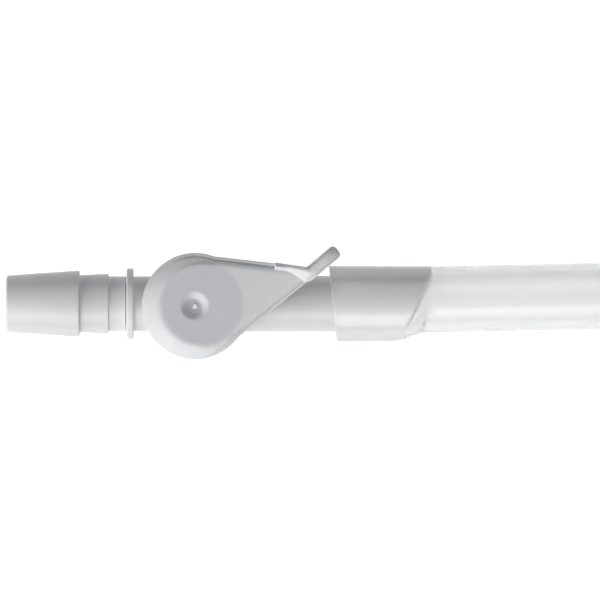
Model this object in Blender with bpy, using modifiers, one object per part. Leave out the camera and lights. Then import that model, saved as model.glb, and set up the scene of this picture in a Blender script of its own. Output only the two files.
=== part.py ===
"""Saliva ejector tip with an on/off lever valve, lying on its back cap with the lever face up.

Frame: metres, +Z up. The origin is on the valve's turning axis, in the middle of the back cap's flat face.
+X runs from the hose connector towards the mouth end, along the suction tube.
"""

import math

import bmesh
import bpy

MM = 0.001

# Flow line: the axis that the connector, the plug's bore and the nose pipe share
AXIS_Y = 0.35 * MM
AXIS_Z = 6.2 * MM
PORT_RADIUS = 2.6 * MM

# Valve drum and its front wall
DRUM_RADIUS = 7.4 * MM
DRUM_BACK_Z = 0.7 * MM
DRUM_FRONT_Z = 11.8 * MM
FRONT_WALL = 1.2 * MM
DRUM_EDGE = 0.5 * MM

# Nose pipe, cut off at a slant
NOSE_RADIUS = 4.18 * MM
NOSE_BORE_RADIUS = 3.0 * MM
NOSE_BORE_START = 7.0 * MM
NOSE_END_X = 33.15 * MM
NOSE_END_ANGLE = math.radians(28.3)

# Swivel socket on the hose side
BOSS_RADIUS = 4.1 * MM
FLANGE_RADIUS = 5.3 * MM
FLANGE_LEFT_X = -10.3 * MM
FLANGE_RIGHT_X = -9.25 * MM
SPIGOT_RADIUS = 3.0 * MM
SPIGOT_CLEARANCE = 0.08 * MM
SPIGOT_END_X = -5.7 * MM
SPIGOT_BORE_RADIUS = 2.25 * MM
BEAD_X = -6.4 * MM
BEAD_HEIGHT = 0.25 * MM
TAIL_SEAL_X = -8.4 * MM
TAIL_SEAL_CORD = 0.6 * MM

# Hose connector: a long tapered barb and a short one, then the shank
BARB_END_X = -28.35 * MM
BARB_STEP_X = -17.35 * MM
SHANK_START_X = -13.0 * MM
BARB_RADII = (4.2 * MM, 4.98 * MM)
SHORT_BARB_RADII = (4.25 * MM, 4.5 * MM)
CONNECTOR_BORE_RADIUS = 3.1 * MM

# Plug
ROTOR_RADIUS = 4.7 * MM
ROTOR_CLEARANCE = 0.08 * MM
ROTOR_BACK_Z = 1.75 * MM
ROTOR_FRONT_Z = 10.5 * MM
ROTOR_SEAL_CORD = 0.56 * MM
ROTOR_SEAL_INSET = 0.9 * MM
GROOVE_WIDTH = 0.8 * MM
NECK_RADIUS = 2.9 * MM
STEM_SIDE = 3.8 * MM
STEM_TOP_Z = 13.6 * MM

# Back cap, snapped into the drum
CAP_RADIUS = 6.5 * MM
CAP_RIM = 0.6 * MM
CAP_PLUG_RADIUS = 5.6 * MM
CAP_PLUG_TOP_Z = 1.65 * MM
CAP_CLEARANCE = 0.08 * MM

# Lever
LEVER_RADIUS = 7.95 * MM
LEVER_BACK_Z = 12.1 * MM
LEVER_FACE_Z = 15.0 * MM
LEVER_SHOULDER = 2.4 * MM
ARM_FACE_Z = 14.95 * MM
ARM_BACK_Z = 12.5 * MM
ARM_WALL = 1.2 * MM
ARM_EDGE = 0.9 * MM
ARM_ROOT_RADIUS = 7.7 * MM
ARM_INNER_RADIUS = 4.6 * MM
ARM_TIP = (16.48 * MM, 4.76 * MM)
ARM_TIP_RADIUS = 1.1 * MM
SOCKET_CLEARANCE = 0.08 * MM
DIMPLE_RADIUS = 2.15 * MM
DIMPLE_DEPTH = 0.55 * MM
RIB_START = (12.65 * MM, 5.9 * MM)
RIB_END = (16.3 * MM, 5.5 * MM)
TAB_BEND = (17.3 * MM, 5.0 * MM)
TAB_END = (21.33 * MM, 8.42 * MM)
TAB_CORNER = 0.5 * MM
RIB_THICKNESS = 1.2 * MM
TAB_THICKNESS = 2.05 * MM
RIB_TOP_Z = 15.85 * MM
TAB_TOP_Z = 16.4 * MM
TAB_BACK_Z = 12.9 * MM

# End stops: a lug on the drum's front runs in a curved slot under the lever
LEVER_TURN = math.radians(75)
LUG_ANGLE = math.radians(200)
LUG_HALF_ANGLE = math.radians(5)
STOP_RADIUS = 6.05 * MM
STOP_WIDTH = 1.1 * MM
STOP_CLEARANCE = 0.2 * MM
LUG_TOP_Z = 12.9 * MM
SLOT_TOP_Z = 13.2 * MM

# Suction tube
TUBE_LENGTH = 150.0 * MM
TUBE_RADIUS = 5.0 * MM
TUBE_BORE_RADIUS = 3.45 * MM
SLEEVE_RADIUS = 5.65 * MM
SLEEVE_BORE_RADIUS = 4.24 * MM
LIP_RADIUS = 5.72 * MM
LIP_X = 20.6 * MM
LIP_SLANT = 0.103
RELAX_LENGTH = 4.6 * MM
TUBE_LINE_Y = 0.975 * MM
TUBE_LINE_X = 35.25 * MM
TUBE_SLOPE = 0.02
TUBE_STRAIGHT_X = 66.0 * MM
TUBE_SECTIONS = 32

# Suction head on the mouth end
HEAD_RADIUS = 5.6 * MM
HEAD_LENGTH = 12.5 * MM
HEAD_WALL = 1.3 * MM
HEAD_SPIGOT_RADIUS = 3.36 * MM
HEAD_SPIGOT_LENGTH = 9.0 * MM
HEAD_BORE_RADIUS = 2.5 * MM
HEAD_MOUTH_RADIUS = 1.75 * MM
SLOT_COUNT = 6
SLOT_WIDTH = 1.5 * MM
SLOT_START = 3.0 * MM
SLOT_END = 9.6 * MM

TURN_STEPS = 40
SEAL_STEPS = 36
SEAL_SIDES = 6
SHARP_ANGLE = math.radians(35)

WHITE_PLASTIC = ("white_polypropylene", (0.86, 0.87, 0.885, 1), 0.22)
SEAL_RUBBER = ("seal_rubber", (0.05, 0.05, 0.055, 1), 0.55)
CLEAR_TUBE = ("clear_tube", (0.90, 0.91, 0.92, 1), 0.3)


def clear_scene():
    for old in list(bpy.data.objects):
        bpy.data.objects.remove(old)


def make_collection(name, hidden=False):
    collection = bpy.data.collections.new(name)
    bpy.context.scene.collection.children.link(collection)
    collection.hide_render = hidden
    return collection


def make_material(finish):
    name, colour, roughness = finish
    material = bpy.data.materials.get(name) or bpy.data.materials.new(name)
    material.use_nodes = True
    shader = material.node_tree.nodes["Principled BSDF"]
    shader.inputs["Base Color"].default_value = colour
    shader.inputs["Roughness"].default_value = roughness
    return material


def add_object(name, mesh, finish=None):
    """A new object, in the part's collection when it has a finish and among the cutters when it hasn't."""
    made = bpy.data.objects.new(name, mesh)
    if finish is None:
        CUTTERS.objects.link(made)
        made.hide_render = True
        made.display_type = "WIRE"
    else:
        PARTS.objects.link(made)
        mesh.materials.append(make_material(finish))
    return made


def turned(name, profile, finish=None, along_x=False, steps=TURN_STEPS):
    """A turned solid: profile is (radius, height) points, outer side first, from the top down."""
    mesh = bpy.data.meshes.new(name)
    on_axis = abs(profile[0][0]) < 1e-9
    count = len(profile)
    edges = [(i, i + 1) for i in range(count - 1)]
    if not on_axis:
        edges.append((count - 1, 0))
    mesh.from_pydata([(radius, 0, height) for radius, height in profile], edges, [])
    made = add_object(name, mesh, finish)
    screw = made.modifiers.new("turn", "SCREW")
    screw.axis = "Z"
    screw.angle = 2 * math.pi
    screw.steps = steps
    screw.render_steps = steps
    screw.use_merge_vertices = True
    screw.merge_threshold = 1e-6
    screw.use_smooth_shade = False
    if along_x:
        made.rotation_euler = (0, math.pi / 2, 0)
        made.location = (0, AXIS_Y, AXIS_Z)
    return made


def cylinder_profile(radius, low, high, edge=0.0):
    if edge == 0:
        return [(0, high), (radius, high), (radius, low), (0, low)]
    return [(0, high), (radius - edge, high), (radius, high - edge),
            (radius, low + edge), (radius - edge, low), (0, low)]


def prism(name, outline, low, high, finish=None, edge=0.0):
    """A flat outline of (x, y) points, counter-clockwise, raised from low to high, with bevelled edges."""
    mesh = bpy.data.meshes.new(name)
    shape = bmesh.new()
    base = [shape.verts.new((x, y, low)) for x, y in outline]
    floor = shape.faces.new(list(reversed(base)))
    lifted = bmesh.ops.extrude_face_region(shape, geom=[floor], use_keep_orig=True)
    corners = [item for item in lifted["geom"] if isinstance(item, bmesh.types.BMVert)]
    bmesh.ops.translate(shape, verts=corners, vec=(0, 0, high - low))
    bmesh.ops.recalc_face_normals(shape, faces=shape.faces)
    shape.to_mesh(mesh)
    shape.free()
    made = add_object(name, mesh, finish)
    if edge > 0:
        bevel = made.modifiers.new("edge", "BEVEL")
        bevel.width = edge
        bevel.segments = 2
        bevel.limit_method = "ANGLE"
        bevel.angle_limit = math.radians(50)
    return made


def box(name, size, location, turn_z=0.0):
    mesh = bpy.data.meshes.new(name)
    shape = bmesh.new()
    bmesh.ops.create_cube(shape, size=1)
    bmesh.ops.scale(shape, vec=size, verts=shape.verts)
    shape.to_mesh(mesh)
    shape.free()
    made = add_object(name, mesh)
    made.location = location
    made.rotation_euler = (0, 0, turn_z)
    return made


def combine(target, other, operation):
    """Adds or cuts one object from another. The other must be among the cutters."""
    boolean = target.modifiers.new(f"{operation.lower()} {other.name}", "BOOLEAN")
    boolean.operation = operation
    boolean.solver = "EXACT"
    boolean.object = other


def cut(target, *others):
    for other in others:
        combine(target, other, "DIFFERENCE")


def join(target, *others):
    for other in others:
        combine(target, other, "UNION")


def arc(centre, radius, start, end, count):
    return [(centre[0] + radius * math.cos(start + (end - start) * i / count),
             centre[1] + radius * math.sin(start + (end - start) * i / count)) for i in range(count + 1)]


def capsule(start, end, radius):
    """The outline of a straight slot shape from start to end, with round ends."""
    along = math.atan2(end[1] - start[1], end[0] - start[0])
    quarter = math.pi / 2
    return (arc(end, radius, along - quarter, along + quarter, 8)
            + arc(start, radius, along + quarter, along + 3 * quarter, 8))


def ring_band(radius, width, start, end, count):
    return (arc((0, 0), radius + width / 2, start, end, count)
            + arc((0, 0), radius - width / 2, end, start, count))


def o_ring(name, radius, cord, finish, centre, along_x=False):
    """A ring seal about Z, or about X, with its middle at centre."""
    profile = [(radius + cord / 2 * math.cos(a), -cord / 2 * math.sin(a))
               for a in (2 * math.pi * i / SEAL_SIDES for i in range(SEAL_SIDES))]
    made = turned(name, profile, finish, steps=SEAL_STEPS)
    if along_x:
        made.rotation_euler = (0, math.pi / 2, 0)
    made.location = centre
    return made


def make_valve_body():
    body = turned("valve_body", cylinder_profile(DRUM_RADIUS, DRUM_BACK_Z, DRUM_FRONT_Z, DRUM_EDGE),
                  WHITE_PLASTIC, steps=56)
    nose = turned("nose_pipe", cylinder_profile(NOSE_RADIUS, 0, 40 * MM), along_x=True)
    join(body, nose)
    rim = 0.2 * MM
    boss = turned("swivel_boss", [
        (0, 0), (BOSS_RADIUS, 0), (BOSS_RADIUS, FLANGE_RIGHT_X), (FLANGE_RADIUS - rim, FLANGE_RIGHT_X),
        (FLANGE_RADIUS, FLANGE_RIGHT_X - rim), (FLANGE_RADIUS, FLANGE_LEFT_X + rim),
        (FLANGE_RADIUS - rim, FLANGE_LEFT_X), (0, FLANGE_LEFT_X)], along_x=True)
    join(body, boss)
    lug = prism("stop_lug", ring_band(STOP_RADIUS, STOP_WIDTH, LUG_ANGLE - LUG_HALF_ANGLE,
                                      LUG_ANGLE + LUG_HALF_ANGLE, 2), DRUM_FRONT_Z - 0.5 * MM, LUG_TOP_Z)
    join(body, lug)
    end_size = 30 * MM
    slant = box("nose_end_cutter", (end_size, end_size, end_size),
                (NOSE_END_X + math.cos(NOSE_END_ANGLE) * end_size / 2,
                 AXIS_Y - math.sin(NOSE_END_ANGLE) * end_size / 2, AXIS_Z), -NOSE_END_ANGLE)
    bore = ROTOR_RADIUS + ROTOR_CLEARANCE
    cap_hole = CAP_PLUG_RADIUS + CAP_CLEARANCE
    cap_seat = CAP_PLUG_TOP_Z + 0.1 * MM
    wall = DRUM_FRONT_Z - FRONT_WALL
    chamber = turned("chamber_cutter", [
        (0, DRUM_FRONT_Z + 2 * MM), (NECK_RADIUS + ROTOR_CLEARANCE, DRUM_FRONT_Z + 2 * MM),
        (NECK_RADIUS + ROTOR_CLEARANCE, wall), (bore, wall), (bore, cap_seat), (cap_hole, cap_seat),
        (cap_hole, DRUM_BACK_Z - 1 * MM), (0, DRUM_BACK_Z - 1 * MM)], steps=56)
    nose_bore = turned("nose_bore_cutter", [
        (0, 45 * MM), (NOSE_BORE_RADIUS, 45 * MM), (NOSE_BORE_RADIUS, NOSE_BORE_START),
        (PORT_RADIUS, NOSE_BORE_START - 0.4 * MM), (PORT_RADIUS, 0), (0, 0)], along_x=True)
    socket = SPIGOT_RADIUS + SPIGOT_CLEARANCE
    groove = TAIL_SEAL_CORD + 0.06 * MM
    bead = 0.4 * MM
    socket_cutter = turned("socket_cutter", [
        (0, 0), (PORT_RADIUS, 0), (PORT_RADIUS, SPIGOT_END_X + 0.1 * MM), (socket, SPIGOT_END_X + 0.1 * MM),
        (socket, BEAD_X + bead), (socket + BEAD_HEIGHT, BEAD_X + bead / 2),
        (socket + BEAD_HEIGHT, BEAD_X - bead / 2), (socket, BEAD_X - bead),
        (socket, TAIL_SEAL_X + GROOVE_WIDTH / 2), (socket + groove - 0.08 * MM, TAIL_SEAL_X + GROOVE_WIDTH / 2),
        (socket + groove - 0.08 * MM, TAIL_SEAL_X - GROOVE_WIDTH / 2), (socket, TAIL_SEAL_X - GROOVE_WIDTH / 2),
        (socket, FLANGE_LEFT_X - 1 * MM), (0, FLANGE_LEFT_X - 1 * MM)], along_x=True)
    cut(body, slant, chamber, nose_bore, socket_cutter)
    return body


def make_back_cap():
    edge = 0.2 * MM
    return turned("back_cap", [
        (0, CAP_PLUG_TOP_Z), (CAP_PLUG_RADIUS - edge, CAP_PLUG_TOP_Z), (CAP_PLUG_RADIUS, CAP_PLUG_TOP_Z - edge),
        (CAP_PLUG_RADIUS, CAP_RIM), (CAP_RADIUS, CAP_RIM), (CAP_RADIUS, edge), (CAP_RADIUS - edge, 0), (0, 0)],
        WHITE_PLASTIC)


def make_rotor():
    seal_floor = ROTOR_RADIUS + ROTOR_CLEARANCE - ROTOR_SEAL_CORD - 0.06 * MM
    profile = [(0, DRUM_FRONT_Z + 0.15 * MM), (NECK_RADIUS, DRUM_FRONT_Z + 0.15 * MM),
               (NECK_RADIUS, ROTOR_FRONT_Z), (ROTOR_RADIUS, ROTOR_FRONT_Z)]
    for middle in (ROTOR_FRONT_Z - ROTOR_SEAL_INSET, ROTOR_BACK_Z + ROTOR_SEAL_INSET):
        profile += [(ROTOR_RADIUS, middle + GROOVE_WIDTH / 2), (seal_floor, middle + GROOVE_WIDTH / 2),
                    (seal_floor, middle - GROOVE_WIDTH / 2), (ROTOR_RADIUS, middle - GROOVE_WIDTH / 2)]
    profile += [(ROTOR_RADIUS, ROTOR_BACK_Z + 0.1 * MM), (0, ROTOR_BACK_Z + 0.1 * MM)]
    rotor = turned("rotor", profile, WHITE_PLASTIC)
    stem_low = DRUM_FRONT_Z - 0.5 * MM
    stem = box("stem", (STEM_SIDE, STEM_SIDE, STEM_TOP_Z - stem_low), (0, 0, (STEM_TOP_Z + stem_low) / 2))
    join(rotor, stem)
    port = turned("rotor_port_cutter", cylinder_profile(PORT_RADIUS, -8 * MM, 8 * MM), along_x=True)
    cut(rotor, port)
    return rotor


def make_rotor_seals():
    radius = ROTOR_RADIUS + ROTOR_CLEARANCE - ROTOR_SEAL_CORD / 2 - 0.03 * MM
    o_ring("rotor_o_ring_front", radius, ROTOR_SEAL_CORD, SEAL_RUBBER, (0, 0, ROTOR_FRONT_Z - ROTOR_SEAL_INSET))
    o_ring("rotor_o_ring_back", radius, ROTOR_SEAL_CORD, SEAL_RUBBER, (0, 0, ROTOR_BACK_Z + ROTOR_SEAL_INSET))


def arm_outline(inset=0.0):
    """The lever arm, a sector that leaves the hub's dish and its free shoulder open.

    Its sides touch the root circle and the tip circle, both made smaller by inset.
    """
    root = ARM_ROOT_RADIUS - inset
    tip = max(ARM_TIP_RADIUS - inset, 0.2 * MM)
    reach = math.hypot(*ARM_TIP)
    along = math.atan2(ARM_TIP[1], ARM_TIP[0])
    spread = math.acos((root - tip) / reach)
    upper, lower = along + spread, along - spread
    return (arc(ARM_TIP, tip, lower, upper, 10)
            + [(root * math.cos(upper), root * math.sin(upper))]
            + arc((0, 0), ARM_INNER_RADIUS, upper, lower, 14)
            + [(root * math.cos(lower), root * math.sin(lower))])


def tab_outline():
    """The thumb tab: round where it leaves the arm, cut square at its free end with small corner radii."""
    half = TAB_THICKNESS / 2
    along = math.atan2(TAB_END[1] - TAB_BEND[1], TAB_END[0] - TAB_BEND[0])
    quarter = math.pi / 2
    forward = (math.cos(along), math.sin(along))
    corners = []
    for side in (-1, 1):
        across = side * (half - TAB_CORNER)
        centre = (TAB_END[0] - TAB_CORNER * forward[0] - across * forward[1],
                  TAB_END[1] - TAB_CORNER * forward[1] + across * forward[0])
        first = along - quarter if side < 0 else along
        corners += arc(centre, TAB_CORNER, first, first + quarter, 3)
    return corners + arc(TAB_BEND, half, along + quarter, along + 3 * quarter, 8)


def make_lever():
    centre = (LEVER_RADIUS - LEVER_SHOULDER, LEVER_FACE_Z - LEVER_SHOULDER)
    dimple_sphere = (DIMPLE_RADIUS ** 2 + DIMPLE_DEPTH ** 2) / (2 * DIMPLE_DEPTH)
    dimple_half = math.asin(DIMPLE_RADIUS / dimple_sphere)
    bowl = [(dimple_sphere * math.sin(a), LEVER_FACE_Z - DIMPLE_DEPTH + dimple_sphere * (1 - math.cos(a)))
            for a in (dimple_half * i / 4 for i in range(5))]
    shoulder = arc(centre, LEVER_SHOULDER, math.pi / 2, 0, 8)
    edge = 0.2 * MM
    lever = turned("lever", [*bowl, *shoulder, (LEVER_RADIUS, LEVER_BACK_Z + edge),
                             (LEVER_RADIUS - edge, LEVER_BACK_Z), (0, LEVER_BACK_Z)], WHITE_PLASTIC, steps=64)
    arm = prism("arm", arm_outline(), ARM_BACK_Z, ARM_FACE_Z, edge=ARM_EDGE)
    cut(arm, prism("arm_pocket_cutter", arm_outline(ARM_WALL), ARM_BACK_Z - 1 * MM, ARM_FACE_Z - ARM_WALL))
    rib = prism("thumb_rib", capsule(RIB_START, RIB_END, RIB_THICKNESS / 2), TAB_BACK_Z, RIB_TOP_Z, edge=0.3 * MM)
    tab = prism("thumb_tab", tab_outline(), TAB_BACK_Z, TAB_TOP_Z, edge=0.4 * MM)
    join(lever, arm, rib, tab)
    side = STEM_SIDE + 2 * SOCKET_CLEARANCE
    socket_top = STEM_TOP_Z + 0.1 * MM
    socket = box("stem_socket_cutter", (side, side, 3 * MM), (0, 0, socket_top - 1.5 * MM))
    gap = STOP_CLEARANCE / STOP_RADIUS
    slot = prism("stop_slot_cutter", ring_band(STOP_RADIUS, STOP_WIDTH + 2 * STOP_CLEARANCE,
                                               LUG_ANGLE - LUG_HALF_ANGLE - LEVER_TURN - gap,
                                               LUG_ANGLE + LUG_HALF_ANGLE + gap, 16),
                 LEVER_BACK_Z - 1 * MM, SLOT_TOP_Z)
    cut(lever, socket, slot)
    return lever


def make_tail_connector():
    bore = CONNECTOR_BORE_RADIUS
    rim = 0.35 * MM
    lip = 0.12 * MM
    bead = 0.4 * MM
    shank_end = FLANGE_LEFT_X - 0.1 * MM
    return turned("tail_connector", [
        (SPIGOT_RADIUS, SPIGOT_END_X), (SPIGOT_RADIUS, BEAD_X + bead),
        (SPIGOT_RADIUS + BEAD_HEIGHT, BEAD_X + bead / 2 - 0.05 * MM),
        (SPIGOT_RADIUS + BEAD_HEIGHT, BEAD_X - bead / 2 + 0.05 * MM), (SPIGOT_RADIUS, BEAD_X - bead),
        (SPIGOT_RADIUS, shank_end), (BOSS_RADIUS, shank_end), (BOSS_RADIUS, SHANK_START_X),
        (SHORT_BARB_RADII[1] - lip, SHANK_START_X), (SHORT_BARB_RADII[1], SHANK_START_X - lip),
        (SHORT_BARB_RADII[0], BARB_STEP_X), (BARB_RADII[1] - lip, BARB_STEP_X),
        (BARB_RADII[1], BARB_STEP_X - lip), (BARB_RADII[0], BARB_END_X + rim),
        (BARB_RADII[0] - rim / 3, BARB_END_X + rim / 3), (BARB_RADII[0] - rim, BARB_END_X),
        (bore, BARB_END_X), (bore, SHANK_START_X + 1 * MM), (SPIGOT_BORE_RADIUS, SHANK_START_X + 1.8 * MM),
        (SPIGOT_BORE_RADIUS, SPIGOT_END_X)], WHITE_PLASTIC, along_x=True)


def make_tail_seal():
    radius = SPIGOT_RADIUS + 0.03 * MM + TAIL_SEAL_CORD / 2
    o_ring("tail_o_ring", radius, TAIL_SEAL_CORD, SEAL_RUBBER, (TAIL_SEAL_X, AXIS_Y, AXIS_Z), along_x=True)


def ease(value):
    """0 below 0, 1 above 1, and a smooth S between."""
    value = min(max(value, 0), 1)
    return value * value * (3 - 2 * value)


def tube_centre(x):
    """(y, z) of the tube's own line: off the pipe's axis by a little, straightening out, and sinking to the table."""
    nearer = min(x, TUBE_STRAIGHT_X)
    y = TUBE_LINE_Y + TUBE_SLOPE * (nearer - TUBE_LINE_X)
    sink = (AXIS_Z - HEAD_RADIUS) * ease((x - NOSE_END_X) / (TUBE_LENGTH - 20 * MM))
    return y, AXIS_Z - sink


def tube_point(x, angle, outside):
    """A point of the tube's wall. Each side of the wall relaxes where the slanted pipe ends beneath it."""
    across, up = math.cos(angle), math.sin(angle)
    pipe_end = NOSE_END_X + NOSE_RADIUS * across * math.tan(NOSE_END_ANGLE)
    free = ease((x - pipe_end) / RELAX_LENGTH)
    snug = SLEEVE_BORE_RADIUS
    loose = TUBE_BORE_RADIUS
    if outside:
        lip = ease((x - LIP_X) / (8 * MM))
        snug = LIP_RADIUS + (SLEEVE_RADIUS - LIP_RADIUS) * lip
        loose = TUBE_RADIUS
    line_y, line_z = tube_centre(x)
    y = (AXIS_Y + snug * across) * (1 - free) + (line_y + loose * across) * free
    z = (AXIS_Z + snug * up) * (1 - free) + (line_z + loose * up) * free
    skew = LIP_SLANT * (1 - ease((x - LIP_X) / (6 * MM)))
    return x - skew * (y - AXIS_Y), y, z


def make_suction_tube():
    fine_end = 42 * MM
    stations = [LIP_X + (fine_end - LIP_X) * i / 18 for i in range(19)]
    far = LIP_X + TUBE_LENGTH
    stations += [fine_end + (far - fine_end) * i / 12 for i in range(1, 13)]
    angles = [2 * math.pi * i / TUBE_SECTIONS for i in range(TUBE_SECTIONS)]
    shape = bmesh.new()
    rings = [[shape.verts.new(tube_point(x, a, True)) for a in angles] for x in stations]
    rings += [[shape.verts.new(tube_point(x, a, False)) for a in angles] for x in reversed(stations)]
    for index, ring in enumerate(rings):
        following = rings[(index + 1) % len(rings)]
        for i in range(TUBE_SECTIONS):
            j = (i + 1) % TUBE_SECTIONS
            shape.faces.new((ring[i], ring[j], following[j], following[i]))
    bmesh.ops.recalc_face_normals(shape, faces=shape.faces)
    mesh = bpy.data.meshes.new("suction_tube")
    shape.to_mesh(mesh)
    shape.free()
    return add_object("suction_tube", mesh, CLEAR_TUBE)


def make_suction_head():
    end = LIP_X + TUBE_LENGTH
    y, z = tube_centre(end)
    dome = HEAD_RADIUS - HEAD_MOUTH_RADIUS
    inner = HEAD_RADIUS - HEAD_WALL
    tip = HEAD_LENGTH
    outer_dome = [(HEAD_MOUTH_RADIUS + dome * math.sin(a), tip - dome + dome * math.cos(a))
                  for a in (math.pi / 2 * i / 6 for i in range(7))]
    inner_dome = [(HEAD_MOUTH_RADIUS + (dome - HEAD_WALL) * math.sin(a), tip - dome + (dome - HEAD_WALL) * math.cos(a))
                  for a in (math.pi / 2 * i / 6 for i in range(6, -1, -1))]
    gap = 0.1 * MM
    head = turned("suction_head", [
        *outer_dome, (HEAD_RADIUS, 1.1 * MM), (HEAD_RADIUS - 0.25 * MM, 0.4 * MM), (TUBE_RADIUS - 0.1 * MM, gap),
        (HEAD_SPIGOT_RADIUS, gap), (HEAD_SPIGOT_RADIUS, 0.4 * MM - HEAD_SPIGOT_LENGTH),
        (HEAD_SPIGOT_RADIUS - 0.3 * MM, -HEAD_SPIGOT_LENGTH), (HEAD_BORE_RADIUS, -HEAD_SPIGOT_LENGTH),
        (HEAD_BORE_RADIUS, 1.4 * MM), (inner, 1.9 * MM), *inner_dome], WHITE_PLASTIC)
    head.rotation_euler = (0, math.pi / 2, 0)
    head.location = (end, y, z)
    for index in range(SLOT_COUNT // 2):
        slot = box(f"head_slot_cutter_{index}", (SLOT_END - SLOT_START, SLOT_WIDTH, 4 * HEAD_RADIUS),
                   (end + (SLOT_START + SLOT_END) / 2, y, z))
        slot.rotation_euler = (math.pi / 6 + 2 * math.pi * index / SLOT_COUNT, 0, 0)
        cut(head, slot)
    return head


def finish_parts():
    """Applies every part's modifiers, then shades its round faces smooth."""
    graph = bpy.context.evaluated_depsgraph_get()
    finished = {part: bpy.data.meshes.new_from_object(part.evaluated_get(graph)) for part in PARTS.objects}
    for part, mesh in finished.items():
        part.modifiers.clear()
        part.data = mesh
        mesh.name = part.name
        mesh.shade_smooth()
        mesh.set_sharp_from_angle(angle=SHARP_ANGLE)


clear_scene()
PARTS = make_collection("saliva_ejector_tip")
CUTTERS = make_collection("cutters", hidden=True)
make_valve_body()
make_back_cap()
make_rotor()
make_rotor_seals()
make_lever()
make_tail_connector()
make_tail_seal()
make_suction_tube()
make_suction_head()
finish_parts()
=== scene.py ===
"""The looks of the saliva ejector tip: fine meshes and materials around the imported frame.

Lengths are in metres with +Z up, except in the lever's own section.
"""

import math

import bmesh
import bpy
import numpy as np
from mathutils import Matrix, Vector


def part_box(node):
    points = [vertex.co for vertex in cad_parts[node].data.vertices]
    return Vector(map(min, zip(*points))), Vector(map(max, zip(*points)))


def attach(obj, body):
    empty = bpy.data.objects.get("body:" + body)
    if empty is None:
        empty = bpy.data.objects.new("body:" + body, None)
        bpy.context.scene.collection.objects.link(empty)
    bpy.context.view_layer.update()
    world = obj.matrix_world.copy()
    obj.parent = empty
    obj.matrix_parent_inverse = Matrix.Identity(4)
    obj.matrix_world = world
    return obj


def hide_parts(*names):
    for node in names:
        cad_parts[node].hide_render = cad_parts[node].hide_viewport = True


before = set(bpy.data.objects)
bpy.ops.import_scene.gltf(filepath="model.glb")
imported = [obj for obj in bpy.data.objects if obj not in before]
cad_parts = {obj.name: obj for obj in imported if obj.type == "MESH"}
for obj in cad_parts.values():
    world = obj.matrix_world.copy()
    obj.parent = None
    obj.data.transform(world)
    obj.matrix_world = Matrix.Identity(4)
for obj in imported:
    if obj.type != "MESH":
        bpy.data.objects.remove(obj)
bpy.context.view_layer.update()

MM = 0.001
FULL_TURN = 2 * math.pi

# ---- Places read from the frame ------------------------------------------------------------------

connector_low, connector_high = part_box("tail_connector")
AXIS_Y = (connector_low.y + connector_high.y) / 2
AXIS_Z = (connector_low.z + connector_high.z) / 2
body_low, body_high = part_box("valve_body")
lever_low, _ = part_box("lever")
_, cap_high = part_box("back_cap")
_, tube_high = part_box("suction_tube")
head_low, head_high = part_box("suction_head")

# ---- Sizes that the frame's boxes don't give -----------------------------------------------------

PORT_RADIUS = 2.6 * MM
DRUM_RADIUS = -body_low.y
DRUM_BACK_Z = body_low.z
DRUM_FRONT_Z = 11.8 * MM
NOSE_RADIUS = 4.18 * MM
NOSE_BORE_RADIUS = 3.0 * MM
NOSE_END_X = 33.15 * MM
NOSE_END_ANGLE = math.radians(28.3)
BOSS_RADIUS = 4.1 * MM
FLANGE_RADIUS = 5.3 * MM
FLANGE_LEFT_X = body_low.x
FLANGE_RIGHT_X = -9.25 * MM
ROTOR_CHAMBER = 4.78 * MM
SWIVEL_BEAD_X = -6.4 * MM
LEVER_RADIUS = -lever_low.y
LEVER_BACK_Z = lever_low.z
LEVER_FACE_Z = 15.0 * MM
LIP_X = 20.6 * MM
TUBE_WALL = 1.45 * MM
TUBE_END_X = tube_high.x
HEAD_RADIUS = (head_high.y - head_low.y) / 2


# ---- Mesh helpers --------------------------------------------------------------------------------

def ease(value):
    """0 below 0 and 1 above 1, with a smooth step between. It takes numbers and arrays."""
    value = np.clip(value, 0, 1)
    return value * value * (3 - 2 * value)


def object_of(name, mesh, material=None):
    made = bpy.data.objects.new(name, mesh)
    bpy.context.scene.collection.objects.link(made)
    if material:
        mesh.materials.append(material)
    return made


def arc(centre, radius, start, end, count):
    """count + 1 points along an arc, which runs backwards when end is less than start."""
    angles = [start + (end - start) * i / count for i in range(count + 1)]
    return [(centre[0] + radius * math.cos(a), centre[1] + radius * math.sin(a)) for a in angles]


def rounded(corners, steps=5):
    """Points of a closed outline from (a, b, reach) corners.

    reach is how far along each side the rounding starts, and 0 keeps the corner sharp.
    """
    count = len(corners)
    points = []
    for i, (a, b, reach) in enumerate(corners):
        here = Vector((a, b))
        if reach == 0:
            points.append((a, b))
            continue
        before = Vector(corners[i - 1][:2])
        after = Vector(corners[(i + 1) % count][:2])
        first = here + (before - here).normalized() * reach
        last = here + (after - here).normalized() * reach
        for step in range(steps + 1):
            t = step / steps
            point = first * (1 - t) ** 2 + here * 2 * t * (1 - t) + last * t ** 2
            points.append((point.x, point.y))
    return points


def loft(name, rings, wrap=False):
    """A skin over rings of equal length.

    wrap joins the last ring to the first. Otherwise both ends are capped.
    """
    shape = bmesh.new()
    rows = [[shape.verts.new(p) for p in ring] for ring in rings]
    around = len(rows[0])
    pairs = list(zip(rows, rows[1:]))
    if wrap:
        pairs.append((rows[-1], rows[0]))
    for row, following in pairs:
        for i in range(around):
            j = (i + 1) % around
            shape.faces.new((row[i], row[j], following[j], following[i]))
    if not wrap:
        shape.faces.new(list(reversed(rows[0])))
        shape.faces.new(rows[-1])
    bmesh.ops.recalc_face_normals(shape, faces=shape.faces)
    mesh = bpy.data.meshes.new(name)
    shape.to_mesh(mesh)
    shape.free()
    return mesh


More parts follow.
